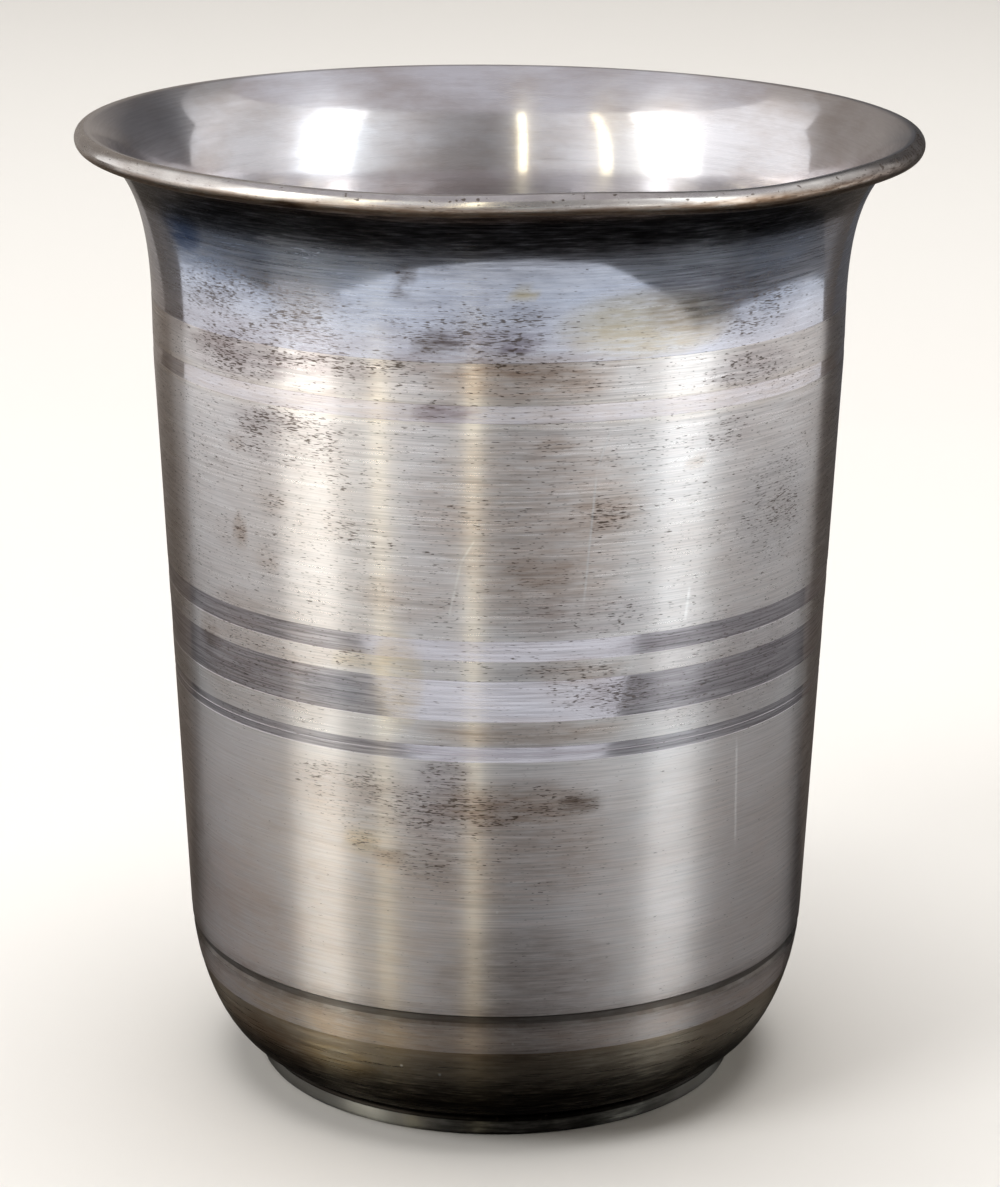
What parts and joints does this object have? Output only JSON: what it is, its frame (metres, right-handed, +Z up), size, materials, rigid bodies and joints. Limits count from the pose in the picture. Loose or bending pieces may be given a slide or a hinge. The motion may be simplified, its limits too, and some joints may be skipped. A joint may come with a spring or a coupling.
{
  "type": "silver cup",
  "caption": "Small spun silver beaker with a flared, rolled lip, a slightly widening wall with turned bands and a groove, and a low ring foot.",
  "frame": {"origin": "on the axis of the cup, at the bottom of the foot ring, where the cup stands", "axes": "+Z up along the axis of the cup, towards the mouth; the cup is round, so X and Y are free"},
  "size_m": [0.076, 0.076, 0.0887],
  "materials": {
    "brushed_silver": "silver, brushed round the wall with polished bands between, lightly tarnished",
    "foot_silver": "polished silver, tarnished in the seam"
  },
  "bodies": {
    "root": {"cup_body": "brushed_silver", "foot_ring": "foot_silver"}
  },
  "joints": []
}
